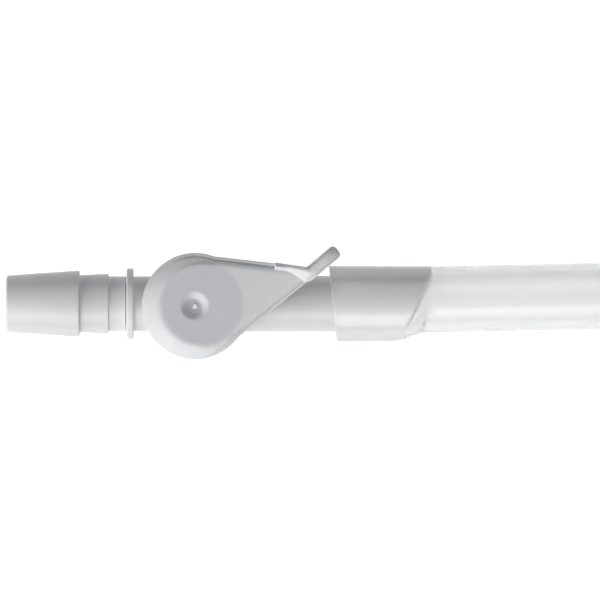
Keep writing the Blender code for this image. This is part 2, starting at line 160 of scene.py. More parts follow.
def turned(name, profile, place=Matrix.Identity(4), segments=128):
    """A turned solid from (radius, height) points, closed on the axis or back to its first point."""
    on_axis = profile[0][0] < 1e-9
    points = [(max(r, 1e-6), h) for r, h in profile]
    rings = []
    for radius, height in points:
        rings.append([place @ Vector((radius * math.cos(FULL_TURN * i / segments),
                                      radius * math.sin(FULL_TURN * i / segments), height))
                      for i in range(segments)])
    mesh = loft(name, rings, wrap=not on_axis)
    shape = bmesh.new()
    shape.from_mesh(mesh)
    bmesh.ops.remove_doubles(shape, verts=shape.verts, dist=3e-6)
    bmesh.ops.recalc_face_normals(shape, faces=shape.faces)
    shape.to_mesh(mesh)
    shape.free()
    return mesh


def along_x(x=0.0, y=AXIS_Y, z=AXIS_Z):
    """Places a turned shape's own axis along +X through (y, z)."""
    return Matrix.Translation((x, y, z)) @ Matrix.Rotation(math.pi / 2, 4, "Y")


def shade(mesh, sharp=38):
    mesh.shade_smooth()
    mesh.set_sharp_from_angle(angle=math.radians(sharp))


def bake(made):
    """Applies the object's modifiers to a mesh of its own."""
    bpy.context.view_layer.update()
    graph = bpy.context.evaluated_depsgraph_get()
    mesh = bpy.data.meshes.new_from_object(made.evaluated_get(graph))
    made.modifiers.clear()
    made.data = mesh
    mesh.name = made.name
    return made


def combine(target, operation, *meshes):
    """Joins meshes to the target, or cuts them from it, and applies the result."""
    helpers = [object_of(f"helper_{i}", mesh) for i, mesh in enumerate(meshes)]
    for helper in helpers:
        boolean = target.modifiers.new(operation, "BOOLEAN")
        boolean.operation = operation
        boolean.solver = "EXACT"
        boolean.object = helper
    bake(target)
    for helper in helpers:
        bpy.data.objects.remove(helper)
    return target


def bevel_edges(made, chosen, width, segments=4):
    """Rounds the edges of the object's mesh that chosen(edge) picks."""
    shape = bmesh.new()
    shape.from_mesh(made.data)
    bmesh.ops.dissolve_degenerate(shape, edges=shape.edges, dist=1e-6)
    edges = [edge for edge in shape.edges if len(edge.link_faces) == 2 and chosen(edge)]
    bmesh.ops.bevel(shape, geom=edges, offset=width, offset_type="OFFSET", segments=segments,
                    profile=0.5, affect="EDGES", clamp_overlap=True)
    shape.to_mesh(made.data)
    shape.free()


def merged(name, *meshes):
    shape = bmesh.new()
    for mesh in meshes:
        shape.from_mesh(mesh)
    mesh = bpy.data.meshes.new(name)
    shape.to_mesh(mesh)
    shape.free()
    return mesh


# ---- Materials -----------------------------------------------------------------------------------

def new_material(name):
    material = bpy.data.materials.new(name)
    material.use_nodes = True
    nodes = material.node_tree.nodes
    return material, nodes, material.node_tree.links, nodes["Principled BSDF"]


def noise_node(nodes, links, scale, detail=3.0):
    place = nodes.new("ShaderNodeTexCoord")
    texture = nodes.new("ShaderNodeTexNoise")
    texture.inputs["Scale"].default_value = scale
    texture.inputs["Detail"].default_value = detail
    links.new(place.outputs["Object"], texture.inputs["Vector"])
    return texture.outputs["Fac"]


def spread(nodes, links, value, low, high):
    """A noise value stretched from its usual middle range to low..high."""
    ramp = nodes.new("ShaderNodeMapRange")
    ramp.inputs["From Min"].default_value = 0.3
    ramp.inputs["From Max"].default_value = 0.7
    ramp.inputs["To Min"].default_value = low
    ramp.inputs["To Max"].default_value = high
    links.new(value, ramp.inputs["Value"])
    return ramp.outputs["Result"]


def mottled(nodes, links, value, first, second):
    mix = nodes.new("ShaderNodeMix")
    mix.data_type = "RGBA"
    mix.inputs["A"].default_value = (*first, 1)
    mix.inputs["B"].default_value = (*second, 1)
    links.new(value, mix.inputs["Factor"])
    return mix.outputs["Result"]


def bump(nodes, links, shader, value, strength, distance):
    node = nodes.new("ShaderNodeBump")
    node.inputs["Strength"].default_value = strength
    node.inputs["Distance"].default_value = distance
    links.new(value, node.inputs["Height"])
    links.new(node.outputs["Normal"], shader.inputs["Normal"])


def paint_light_spot(nodes, links, colour, place, painted_spot):
    """Paints light or shade into a colour by multiplying it inside a soft-edged round spot about a
    line along Z.

    The painted spot is ((x, y), radius, softness, tint).
    """
    (x, y), radius, softness, tint = painted_spot
    flat = nodes.new("ShaderNodeVectorMath")
    flat.operation = "MULTIPLY"
    flat.inputs[1].default_value = (1, 1, 0)
    links.new(place.outputs["Object"], flat.inputs[0])
    apart = nodes.new("ShaderNodeVectorMath")
    apart.operation = "DISTANCE"
    apart.inputs[1].default_value = (x, y, 0)
    links.new(flat.outputs["Vector"], apart.inputs[0])
    edge = nodes.new("ShaderNodeMapRange")
    edge.interpolation_type = "SMOOTHSTEP"
    edge.inputs["From Min"].default_value = radius - softness
    edge.inputs["From Max"].default_value = radius + softness
    links.new(apart.outputs["Value"], edge.inputs["Value"])
    mix = nodes.new("ShaderNodeMix")
    mix.data_type = "RGBA"
    mix.blend_type = "MULTIPLY"
    mix.inputs["Factor"].default_value = 1
    links.new(colour, mix.inputs["A"])
    links.new(mottled(nodes, links, edge.outputs["Result"], tint, (1, 1, 1)), mix.inputs["B"])
    return mix.outputs["Result"]


def moulded_plastic(name, soak, depth, painted_spots=()):
    """Glossy moulded polypropylene, with faint flow mottling and an orange-peel skin, and any painted
    shade and highlight spots that are given.

    soak is how much light goes in, and depth is how far it spreads.
    """
    material, nodes, links, shader = new_material(name)
    flow = spread(nodes, links, noise_node(nodes, links, scale=160, detail=4), low=0, high=1)
    colour = mottled(nodes, links, flow, (0.70, 0.71, 0.722), (0.735, 0.743, 0.752))
    place = nodes.new("ShaderNodeTexCoord")
    # Painted light: each spot multiplies shade or a highlight into the colour.
    for painted_spot in painted_spots:
        colour = paint_light_spot(nodes, links, colour, place, painted_spot)
    links.new(colour, shader.inputs["Base Color"])
    skin = noise_node(nodes, links, scale=700, detail=5)
    links.new(spread(nodes, links, skin, low=0.32, high=0.42), shader.inputs["Roughness"])
    orange_peel = noise_node(nodes, links, scale=900, detail=4)
    bump(nodes, links, shader, orange_peel, strength=0.12, distance=0.03 * MM)
    shader.inputs["IOR"].default_value = 1.49
    shader.inputs["Subsurface Weight"].default_value = soak
    shader.inputs["Subsurface Radius"].default_value = (1.0, 0.98, 0.96)
    shader.inputs["Subsurface Scale"].default_value = depth
    return material


def seal_rubber():
    material, nodes, links, shader = new_material("seal_rubber")
    dust = spread(nodes, links, noise_node(nodes, links, scale=500, detail=4), low=0, high=1)
    colour = mottled(nodes, links, dust, (0.018, 0.018, 0.02), (0.035, 0.035, 0.037))
    links.new(colour, shader.inputs["Base Color"])
    wear = noise_node(nodes, links, scale=1500)
    links.new(spread(nodes, links, wear, low=0.45, high=0.62), shader.inputs["Roughness"])
    grain = noise_node(nodes, links, scale=3000)
    bump(nodes, links, shader, grain, strength=0.2, distance=0.04 * MM)
    return material


def clear_tubing():
    """Soft clear vinyl, a little milky. Light reaches what it covers as if through clear air."""
    material, nodes, links, shader = new_material("clear_tubing")
    haze = spread(nodes, links, noise_node(nodes, links, scale=90, detail=3), low=0, high=1)
    colour = mottled(nodes, links, haze, (0.94, 0.945, 0.945), (0.97, 0.975, 0.975))
    links.new(colour, shader.inputs["Base Color"])
    frosting = noise_node(nodes, links, scale=350, detail=4)
    links.new(spread(nodes, links, frosting, low=0.10, high=0.18), shader.inputs["Roughness"])
    ripple = noise_node(nodes, links, scale=260, detail=3)
    bump(nodes, links, shader, ripple, strength=0.02, distance=0.05 * MM)
    shader.inputs["IOR"].default_value = 1.42
    shader.inputs["Specular IOR Level"].default_value = 0.2
    shader.inputs["Transmission Weight"].default_value = 0.72
    rays = nodes.new("ShaderNodeLightPath")
    clear = nodes.new("ShaderNodeBsdfTransparent")
    mix = nodes.new("ShaderNodeMixShader")
    either = nodes.new("ShaderNodeMath")
    either.operation = "MAXIMUM"
    links.new(rays.outputs["Is Shadow Ray"], either.inputs[0])
    links.new(rays.outputs["Is Diffuse Ray"], either.inputs[1])
    links.new(either.outputs["Value"], mix.inputs["Fac"])
    links.new(shader.outputs["BSDF"], mix.inputs[1])
    links.new(clear.outputs["BSDF"], mix.inputs[2])
    links.new(mix.outputs["Shader"], nodes["Material Output"].inputs["Surface"])
    return material


def table_top():
    """A pale table, lit evenly from edge to edge.

    What it throws back onto the piece is weaker than what is seen of it.
    """
    material, nodes, links, shader = new_material("pale_table")
    shader.inputs["Base Color"].default_value = (0.1, 0.1, 0.1, 1)
    shader.inputs["Roughness"].default_value = 0.9
    shader.inputs["Specular IOR Level"].default_value = 0.0
    shader.inputs["Emission Color"].default_value = (1, 1, 1, 1)
    rays = nodes.new("ShaderNodeLightPath")
    strength = nodes.new("ShaderNodeMapRange")
    strength.inputs["To Min"].default_value = TABLE_GLOW
    strength.inputs["To Max"].default_value = TABLE_BOUNCE
    links.new(rays.outputs["Is Diffuse Ray"], strength.inputs["Value"])
    links.new(strength.outputs["Result"], shader.inputs["Emission Strength"])
    return material


TABLE_GLOW = 1.12
TABLE_BOUNCE = 0.3

# Painted light on the lever, multiplied into its colour: painted shade that darkens the hub's disc
# against the arm, a painted shadow in the dimple, and a painted highlight on the gate mark in its
# middle.
LEVER_PAINTED_LIGHT = [
    # Painted shade: the hub's disc darker than the arm.
    ((1.0 * MM, 0.3 * MM), 6.2 * MM, 0.5 * MM, (0.865, 0.87, 0.895)),
    # Painted shadow in the dimple, to the lower left of its middle.
    ((-0.45 * MM, -0.45 * MM), 1.45 * MM, 0.22 * MM, (0.84, 0.84, 0.85)),
    # Painted highlight on the gate mark, lifting the colour above the plastic's own white.
    ((0, -0.05 * MM), 0.34 * MM, 0.05 * MM, (1.8, 1.8, 1.8)),
]
WHITE = moulded_plastic("white_plastic", soak=0.08, depth=0.3 * MM)
BODY_WHITE = moulded_plastic("body_plastic", soak=0.3, depth=0.8 * MM)
LEVER_WHITE = moulded_plastic("lever_plastic", soak=0.15, depth=0.4 * MM, painted_spots=LEVER_PAINTED_LIGHT)
RUBBER = seal_rubber()
TUBING = clear_tubing()


# ---- Camera, light and table ---------------------------------------------------------------------

VIEW_CENTRE = Vector((15.705 * MM, 0.9 * MM, AXIS_Z))
CAMERA_DISTANCE = 2.0
VIEW_WIDTH = 90 * MM
LIGHT_DISTANCE = 1.0
# Name, azimuth and tilt in degrees, size in metres, power in watts.
LIGHTS = [
    ("key_panel", 24, 50, (1.5, 0.7), 11.7),
    ("left_panel", 85, 76, (1.2, 0.3), 4.6),
    ("right_panel", -95, 78, (0.9, 0.3), 1.7),
    ("back_panel", -160, 52, (0.9, 0.6), 2.3),
]
SKY_COLOUR = (0.93, 0.96, 1.0, 1)
SKY_STRENGTH = 0.012
TABLE_HALF_WIDTH = 30
TABLE_GAP = 0.02 * MM


def make_camera():
    data = bpy.data.cameras.new("camera")
    data.sensor_width = 36
    data.lens = data.sensor_width * CAMERA_DISTANCE / VIEW_WIDTH
    data.clip_start = 0.1
    data.clip_end = 100
    camera = bpy.data.objects.new("camera", data)
    camera.location = VIEW_CENTRE + Vector((0, 0, CAMERA_DISTANCE))
    bpy.context.scene.collection.objects.link(camera)
    bpy.context.scene.camera = camera


def area_light(name, azimuth, tilt, size, power):
    """A soft panel aimed at the view's centre.

    azimuth turns from -Y towards -X, and tilt is down from straight above.
    """
    data = bpy.data.lights.new(name, "AREA")
    data.shape = "RECTANGLE"
    data.size, data.size_y = size
    data.energy = power
    lamp = bpy.data.objects.new(name, data)
    away = Vector((-math.sin(tilt) * math.sin(azimuth), -math.sin(tilt) * math.cos(azimuth),
                   math.cos(tilt)))
    lamp.location = VIEW_CENTRE + away * LIGHT_DISTANCE
    lamp.rotation_euler = away.to_track_quat("Z", "Y").to_euler()
    bpy.context.scene.collection.objects.link(lamp)


def make_studio():
    bpy.context.scene.view_settings.view_transform = "Standard"
    world = bpy.data.worlds.new("studio")
    world.use_nodes = True
    background = world.node_tree.nodes["Background"]
    background.inputs["Color"].default_value = SKY_COLOUR
    background.inputs["Strength"].default_value = SKY_STRENGTH
    bpy.context.scene.world = world
    for name, azimuth, tilt, size, power in LIGHTS:
        area_light(name, math.radians(azimuth), math.radians(tilt), size, power)


def make_table():
    shape = bmesh.new()
    bmesh.ops.create_grid(shape, x_segments=8, y_segments=8, size=TABLE_HALF_WIDTH)
    mesh = bpy.data.meshes.new("table")
    shape.to_mesh(mesh)
    shape.free()
    table = object_of("table", mesh, table_top())
    table.location.z = -TABLE_GAP


# ---- Pieces --------------------------------------------------------------------------------------

def make_connector():
    """The stepped two-barb hose connector on its swivel."""
    left = connector_low.x
    step = -17.35 * MM
    shank = -13.0 * MM
    stop = FLANGE_LEFT_X - 0.1 * MM
    end = connector_high.x
    bead = SWIVEL_BEAD_X
    spigot, spigot_bead = 3.0 * MM, 3.25 * MM
    wide_bore, narrow_bore = 3.1 * MM, 2.25 * MM
    spigot_side = [
        (spigot, end, 0.1 * MM), (spigot, bead + 0.4 * MM, 0.05 * MM),
        (spigot_bead, bead + 0.15 * MM, 0.08 * MM), (spigot_bead, bead - 0.15 * MM, 0.08 * MM),
        (spigot, bead - 0.4 * MM, 0.05 * MM), (spigot, stop, 0)]
    barb_side = [
        (BOSS_RADIUS, stop, 0.12 * MM), (BOSS_RADIUS, shank, 0.18 * MM), (4.5 * MM, shank, 0.14 * MM),
        (4.27 * MM, step, 0.25 * MM), (4.98 * MM, step, 0.22 * MM), (4.22 * MM, left, 0.4 * MM)]
    bore_side = [
        (wide_bore, left, 0.25 * MM), (wide_bore, shank + 1.0 * MM, 0.3 * MM),
        (narrow_bore, shank + 1.8 * MM, 0.3 * MM), (narrow_bore, end, 0.1 * MM)]
    profile = rounded(spigot_side + barb_side + bore_side)
    mesh = turned("connector_skin", profile, along_x())
    shade(mesh)
    piece = object_of("connector_skin", mesh, WHITE)
    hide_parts("tail_connector")
    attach(piece, "tail")


def nose_pipe_mesh():
    """The nose pipe as a solid rod, cut at the slant."""
    segments = 128
    rings = []
    for x in (2 * MM, 10 * MM, 20 * MM, 28 * MM, None):
        ring = []
        for i in range(segments):
            angle = FULL_TURN * i / segments
            across = NOSE_RADIUS * math.cos(angle)
            reach = NOSE_END_X + across * math.tan(NOSE_END_ANGLE) if x is None else x
            ring.append((reach, AXIS_Y + across, AXIS_Z + NOSE_RADIUS * math.sin(angle)))
        rings.append(ring)
    return loft("nose_pipe", rings)


def make_body():
    """Drum, nose pipe and swivel boss in one skin, with soft fillets where pipe meets drum."""
    drum = turned("drum", rounded([
        (0, DRUM_FRONT_Z, 0), (DRUM_RADIUS, DRUM_FRONT_Z, 0.7 * MM),
        (DRUM_RADIUS, DRUM_BACK_Z, 0.6 * MM), (0, DRUM_BACK_Z, 0)]), segments=160)
    boss = turned("boss", rounded([
        (0, -2 * MM, 0), (BOSS_RADIUS, -2 * MM, 0), (BOSS_RADIUS, FLANGE_RIGHT_X, 0.15 * MM),
        (FLANGE_RADIUS, FLANGE_RIGHT_X, 0.3 * MM), (FLANGE_RADIUS, FLANGE_LEFT_X, 0.3 * MM),
        (0, FLANGE_LEFT_X, 0)]), along_x())
    body = object_of("body_skin", drum, BODY_WHITE)
    combine(body, "UNION", nose_pipe_mesh(), boss)

    def where_pipe_meets_drum(edge):
        middle = (edge.verts[0].co + edge.verts[1].co) / 2
        on_drum = abs(math.hypot(middle.x, middle.y) - DRUM_RADIUS) < 0.08 * MM
        bent = edge.calc_face_angle(0) > math.radians(20)
        between_rims = DRUM_BACK_Z + 0.8 * MM < middle.z < DRUM_FRONT_Z - 0.8 * MM
        return on_drum and bent and between_rims

    bevel_edges(body, where_pipe_meets_drum, 0.45 * MM, 5)
    wall = DRUM_FRONT_Z - 1.2 * MM
    neck = 2.98 * MM
    cap_seat, cap_seat_z = 5.68 * MM, 1.75 * MM
    chamber = turned("chamber", [
        (0, DRUM_FRONT_Z + 2 * MM), (neck, DRUM_FRONT_Z + 2 * MM), (neck, wall),
        (ROTOR_CHAMBER, wall), (ROTOR_CHAMBER, cap_seat_z), (cap_seat, cap_seat_z),
        (cap_seat, -1 * MM), (0, -1 * MM)])
    nose_bore = turned("nose_bore", [
        (0, 45 * MM), (NOSE_BORE_RADIUS, 45 * MM), (NOSE_BORE_RADIUS, 7 * MM),
        (PORT_RADIUS, 6.6 * MM), (PORT_RADIUS, 0), (0, 0)], along_x())
    socket = 3.08 * MM
    socket_end = -5.6 * MM
    bead, bead_groove = SWIVEL_BEAD_X, socket + 0.25 * MM
    seal, seal_groove = -8.4 * MM, 3.66 * MM
    swivel_bore = turned("swivel_bore", [
        (0, 0), (PORT_RADIUS, 0), (PORT_RADIUS, socket_end), (socket, socket_end),
        (socket, bead + 0.4 * MM), (bead_groove, bead + 0.2 * MM), (bead_groove, bead - 0.2 * MM),
        (socket, bead - 0.4 * MM), (socket, seal + 0.4 * MM), (seal_groove, seal + 0.4 * MM),
        (seal_groove, seal - 0.4 * MM), (socket, seal - 0.4 * MM), (socket, -12 * MM),
        (0, -12 * MM)], along_x())
    combine(body, "DIFFERENCE", chamber, nose_bore, swivel_bore)
    lug_from, lug_to = math.radians(195), math.radians(205)
    lug_outline = (arc((0, 0), 6.6 * MM, lug_from, lug_to, 6)
                   + arc((0, 0), 5.5 * MM, lug_to, lug_from, 6))
    lug = loft("lug", [[(x, y, z) for x, y in lug_outline]
                       for z in (DRUM_FRONT_Z - 0.4 * MM, body_high.z)])
    combine(body, "UNION", lug)
    shade(body.data, 30)
    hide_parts("valve_body")
    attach(body, "valve")


def make_cap():
    """The back cover, with a shallow ring groove and the sunk gate mark in its face."""
    plug, plug_top, rim_top = 5.6 * MM, cap_high.z, 0.6 * MM
    groove, gate = 0.12 * MM, 0.1 * MM
    mesh = turned("cap_skin", rounded([
        (0, plug_top, 0), (plug, plug_top, 0.2 * MM), (plug, rim_top, 0.1 * MM),
        (cap_high.x, rim_top, 0.15 * MM), (cap_high.x, 0, 0.25 * MM), (5.2 * MM, 0, 0.08 * MM),
        (5.05 * MM, groove, 0.08 * MM), (4.6 * MM, groove, 0.08 * MM), (4.45 * MM, 0, 0.08 * MM),
        (0.5 * MM, 0, 0.05 * MM), (0.45 * MM, gate, 0.05 * MM), (0, gate, 0)]))
    shade(mesh)
    piece = object_of("cap_skin", mesh, WHITE)
    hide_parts("back_cap")
    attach(piece, "valve")


# ---- Lever ---------------------------------------------------------------------------------------
# It is worked out in millimetres as a field that is negative inside it, then skinned.

HUB_RADIUS = LEVER_RADIUS / MM
FACE = LEVER_FACE_Z / MM
BACK = LEVER_BACK_Z / MM
ARM_BACK = 12.5
ARM_ROOT = 7.7
ARM_TIP = (16.48, 4.76)
ARM_TIP_RADIUS = 1.1
SKIRT = 0.3
POCKET_WALL, POCKET_ROOF = 1.2, 13.75

# The rim is the ledge's width. It narrows by RIM_CUT on the side of the hub that is behind the arm.
RIM, RIM_CUT = 0.62, 0.45

RIB_LEFT, RIB_RIGHT, RIB_ANGLE, RIB_FOOT, RIB_TOP = 11.95, 17.2, math.radians(-8.9), 7.4, 8.3
RIB_SLOPE, RIB_SLOPE_LENGTH, RIB_ROOF, RIB_ROOF_LENGTH = 1.35, 1.68, 0.4, 1.41
TAB_FROM, TAB_TO = (17.3, 5.0), (21.33, 8.42)
TAB_HALF, TAB_ROOT, TAB_ROUNDING = 1.02, 1.2, 0.8
TAB_BEND_FROM, TAB_BEND_RUN, TAB_BEND_DROP = 2.5, 2.8, 0.85
TAB_STEP = 0.55
THUMB_BACK = 12.9
RAMP_FOOT, RAMP_ANGLE, RAMP_LENGTH, RAMP_HEIGHT = (15.3, 4.25), math.radians(58), 2.3, 1.33

# (radius, height) points of the dish in the hub's face.
DIMPLE = [(0, 14.28), (1.05, 14.38), (1.25, 14.5), (2.1, 15.02), (2.6, 15.3)]
DIMPLE_RADIUS = 2.6

STEM_SOCKET_HALF, STEM_SOCKET_ROOF = 1.95, 13.7
SLOT_RADIUS, SLOT_HALF_WIDTH, SLOT_HALF_LENGTH, SLOT_ROOF = 6.05, 0.65, 4.65, 13.2
SLOT_ANGLE = math.radians(162.5)

GRID = 0.1
GRID_LOW, GRID_HIGH = (-8.35, -8.35, 11.85), (22.2, 9.6, 16.9)


def smooth_min(a, b, size):
    """The union of two fields with an inner fillet of about this size."""
    near = np.clip(0.5 + 0.5 * (b - a) / size, 0, 1)
    return b * (1 - near) + a * near - size * near * (1 - near)


def smooth_max(a, b, size):
    """What two fields share, with its edge rounded by about this size."""
    return -smooth_min(-a, -b, size)


def corner(out, up, wide, tall):
    """A solid below up = 0 and inside out = 0, whose edge is a quarter ellipse."""
    across, above = out + wide, up + tall
    stretch = np.sqrt((across / wide) ** 2 + (above / tall) ** 2)
    slope = np.sqrt((across / wide ** 2) ** 2 + (above / tall ** 2) ** 2) + 1e-9
    curve = stretch * (stretch - 1) / slope
    return np.where((across > 0) & (above > 0), curve, np.maximum(out, up))


def arm_plan(x, y):
    """Signed distances to the hull of the root and tip circles, and to the arm's sector."""
    reach, along = math.hypot(*ARM_TIP), math.atan2(ARM_TIP[1], ARM_TIP[0])
    spread_by = math.acos((ARM_ROOT - ARM_TIP_RADIUS) / reach)
    upper, lower = along + spread_by, along - spread_by
    out_upper = x * math.cos(upper) + y * math.sin(upper) - ARM_ROOT
    out_lower = x * math.cos(lower) + y * math.sin(lower) - ARM_ROOT
    tip = np.hypot(x - ARM_TIP[0], y - ARM_TIP[1]) - ARM_TIP_RADIUS
    beyond_upper = (x - ARM_TIP[0]) * -math.sin(upper) + (y - ARM_TIP[1]) * math.cos(upper)
    beyond_lower = (x - ARM_TIP[0]) * math.sin(lower) - (y - ARM_TIP[1]) * math.cos(lower)
    hull = np.where((beyond_upper < 0) & (beyond_lower < 0), tip, np.maximum(out_upper, out_lower))
    sector = np.maximum(-x * math.sin(upper) + y * math.cos(upper),
                        x * math.sin(lower) - y * math.cos(lower))
    return hull, sector


def hub_shoulder(z, inset, broad, upper):
    """The hub's shoulder: a steady slope, steep on the upper side. Also the depth of its foot.

    inset is the distance out from the shoulder's foot, and broad is the slope's width.
    """
    steep = 0.45 + 1.2 * upper * upper
    run = np.clip(1 + inset / broad, 0, 1.5)
    sink = np.where(run < 0.4, 1.25 * run * run, run - 0.2) + 0.35 * np.clip(run - 0.4, 0, 1) ** 2
    sink = steep * broad * sink
    return (z - FACE + sink) / np.hypot(1, steep), 0.92 * steep * broad


def arm_shoulder(z, inset, wide, upper):
    """The arm's shoulder: an elliptic rounding, taller on the upper side, and its foot's depth."""
    drop = 1 + upper**1.65
    return corner(inset - 0.2 * wide, z - FACE, wide, 0.78 * drop * wide), 0.34 * drop * wide


def lever_plate(x, y, z, radius, hull, sector):
    """Hub and arm: a shoulder that falls from the face to a ledge at the outline."""
    plan = smooth_min(radius - HUB_RADIUS, np.maximum(hull, sector), 0.12)
    spoke = radius + 1e-6
    behind = ease(0.35 - 0.95 * (x + 0.8 * y) / spoke)
    forward = (0.95 * x + 0.1 * y) / spoke
    upper = np.clip(y / spoke, 0, 1)
    on_hub = np.clip(1 - x / 3, 0, 1)
    on_arm = 1 - on_hub
    rim = RIM - RIM_CUT * behind
    inset = plan + rim

    hub_broad = np.maximum(2.4 - 0.3 * upper - rim - forward, 0.92)
    arm_wide = np.maximum((2.1 - rim - forward) / 0.8, 1.15)
    from_hub, hub_depth = hub_shoulder(z, inset, hub_broad, upper)
    from_arm, arm_depth = arm_shoulder(z, inset, arm_wide, upper)
    raised = smooth_max(from_hub * on_hub + from_arm * on_arm, plan, 0.15)
    shelf = FACE - hub_depth * on_hub - arm_depth * on_arm
    ledge = smooth_max(plan, z - shelf + 0.2 * np.maximum(inset, 0), 0.16)
    crease_size = 0.2 * np.clip((x + 0.8 * y - 1) / 3, 0, 1)
    crease = crease_size - np.hypot(inset - 0.05, z - shelf)

    hub_block = np.maximum(radius - HUB_RADIUS - SKIRT, BACK - z)
    arm_block = np.maximum(hull - SKIRT, ARM_BACK - z)
    plate = smooth_max(smooth_min(raised, ledge, 0.05), crease, 0.04)
    plate = smooth_max(plate, np.minimum(hub_block, arm_block), 0.2)
    pocket = np.maximum(np.maximum(hull + POCKET_WALL, z - POCKET_ROOF), HUB_RADIUS - radius)
    return smooth_max(plate, -pocket, 0.15)


def thumb_ramp(x, y, z, hull):
    """The ramp up to the tab, as a field, and how far it has risen at each place."""
    foot = (x - RAMP_FOOT[0]) * math.cos(RAMP_ANGLE) + (y - RAMP_FOOT[1]) * math.sin(RAMP_ANGLE)
    rise = RAMP_HEIGHT * (1 - (1 - np.clip(foot / RAMP_LENGTH, 0, 1)) ** 2.2)
    ramp_plan = np.maximum(hull, -foot - 0.1)
    return corner(ramp_plan + 0.2, z - FACE - rise, 0.6, 0.5), rise


def thumb_tab(x, y, z, rise):
    """The raised bar that the thumb pushes. It bends down at its far end and has a stepped edge."""
    run_x, run_y = TAB_TO[0] - TAB_FROM[0], TAB_TO[1] - TAB_FROM[1]
    length = math.hypot(run_x, run_y)
    far = ((x - TAB_FROM[0]) * run_x + (y - TAB_FROM[1]) * run_y) / length
    side = np.abs((y - TAB_FROM[1]) * run_x - (x - TAB_FROM[0]) * run_y) / length
    bend = TAB_BEND_DROP * (np.clip(far - TAB_BEND_FROM, 0, 9) / TAB_BEND_RUN) ** 2
    top = z - FACE - rise + bend
    bar = smooth_max(smooth_max(side - TAB_HALF, far - length, TAB_ROUNDING), -far - TAB_ROOT,
                     TAB_ROUNDING)
    step = smooth_max(bar, top + TAB_STEP, 0.2)
    tab = smooth_min(corner(bar + 0.32, top, 0.6, 0.75), step, 0.06)
    return smooth_max(tab, 0.17 - np.hypot(bar + 0.3, top + TAB_STEP), 0.05)


def arm_rib(x, y, z):
    """The low rib along the arm's upper edge, sloped on the face's side and on top."""
    over = y * math.cos(RIB_ANGLE) - x * math.sin(RIB_ANGLE)
    face_side = (z - FACE - RIB_SLOPE * (over - RIB_FOOT)) / RIB_SLOPE_LENGTH
    roof = (z - FACE - RIB_ROOF + over - RIB_FOOT - 0.3) / RIB_ROOF_LENGTH
    ends = smooth_max(over - RIB_TOP, RIB_LEFT - x, 0.1)
    rib = smooth_max(smooth_max(face_side, roof, 0.12), ends, 0.12)
    return np.maximum(rib, np.maximum(x - RIB_RIGHT, RIB_FOOT - 0.4 - over))


def lever_field(x, y, z):
    radius = np.hypot(x, y)
    hull, sector = arm_plan(x, y)
    plate = lever_plate(x, y, z, radius, hull, sector)

    ramp, rise = thumb_ramp(x, y, z, hull)
    thumb = smooth_min(smooth_min(thumb_tab(x, y, z, rise), ramp, 0.4), arm_rib(x, y, z), 0.15)
    lever = smooth_min(plate, smooth_max(thumb, THUMB_BACK - z, 0.3), 0.15)

    dish = np.interp(radius, [r for r, _ in DIMPLE], [h for _, h in DIMPLE])
    lever = smooth_max(lever, -np.maximum(0.87 * (dish - z), radius - DIMPLE_RADIUS), 0.1)
    stem_socket = np.maximum(np.maximum(np.abs(x), np.abs(y)) - STEM_SOCKET_HALF,
                             z - STEM_SOCKET_ROOF)
    along_slot = np.abs(np.arctan2(y, x) % FULL_TURN - SLOT_ANGLE) * SLOT_RADIUS - SLOT_HALF_LENGTH
    slot = np.maximum(np.abs(radius - SLOT_RADIUS) - SLOT_HALF_WIDTH,
                      np.maximum(along_slot, z - SLOT_ROOF))
    return np.maximum(lever, -np.minimum(stem_socket, slot))


def skin_of(name, field, low, step):
    """Closed quads around a sampled field's inside.

    There is a vertex in each cell that the skin passes through, and a quad around each edge of the
    grid that it crosses.
    """
    inside = field < 0
    count = np.array(field.shape) - 1
    total = np.zeros(count, int)
    offsets = [(i, j, k) for i in (0, 1) for j in (0, 1) for k in (0, 1)]
    for i, j, k in offsets:
        total += inside[i:i + count[0], j:j + count[1], k:k + count[2]]
    cells = np.argwhere((total > 0) & (total < 8))
    places = np.full(count, -1)
    places[tuple(cells.T)] = np.arange(len(cells))
    sums, crossings = np.zeros((len(cells), 3)), np.zeros(len(cells))
    for a in offsets:
        for axis in range(3):
            if a[axis]:
                continue
            b = tuple(value + (axis == n) for n, value in enumerate(a))
            first = field[tuple((cells + a).T)]
            second = field[tuple((cells + b).T)]
            crossed = (first < 0) != (second < 0)
            share = first / np.where(crossed, first - second, 1)
            point = np.array(a, float)[None, :].repeat(len(cells), 0)
            point[:, axis] += share
            sums[crossed] += point[crossed]
            crossings[crossed] += 1
    vertices = (cells + sums / crossings[:, None]) * step + low
    quads = []
    for axis in range(3):
        one, two = [(1, 2), (2, 0), (0, 1)][axis]
        near = np.take(inside, range(count[axis]), axis)
        away = np.take(inside, range(1, count[axis] + 1), axis)
        edges = np.argwhere(near != away)
        edges = edges[(edges[:, one] > 0) & (edges[:, two] > 0)
                      & (edges[:, one] < count[one]) & (edges[:, two] < count[two])]
        outward = near[tuple(edges.T)]
        around = []
        for back_one, back_two in ((1, 1), (0, 1), (0, 0), (1, 0)):
            cell = edges.copy()
            cell[:, one] -= back_one
            cell[:, two] -= back_two
            around.append(places[tuple(cell.T)])
        quad = np.stack(around, 1)
        quad[~outward] = quad[~outward][:, ::-1]
        quads.append(quad)
    mesh = bpy.data.meshes.new(name)
    mesh.from_pydata((vertices * MM).tolist(), [], np.concatenate(quads).tolist())
    mesh.validate()
    return mesh


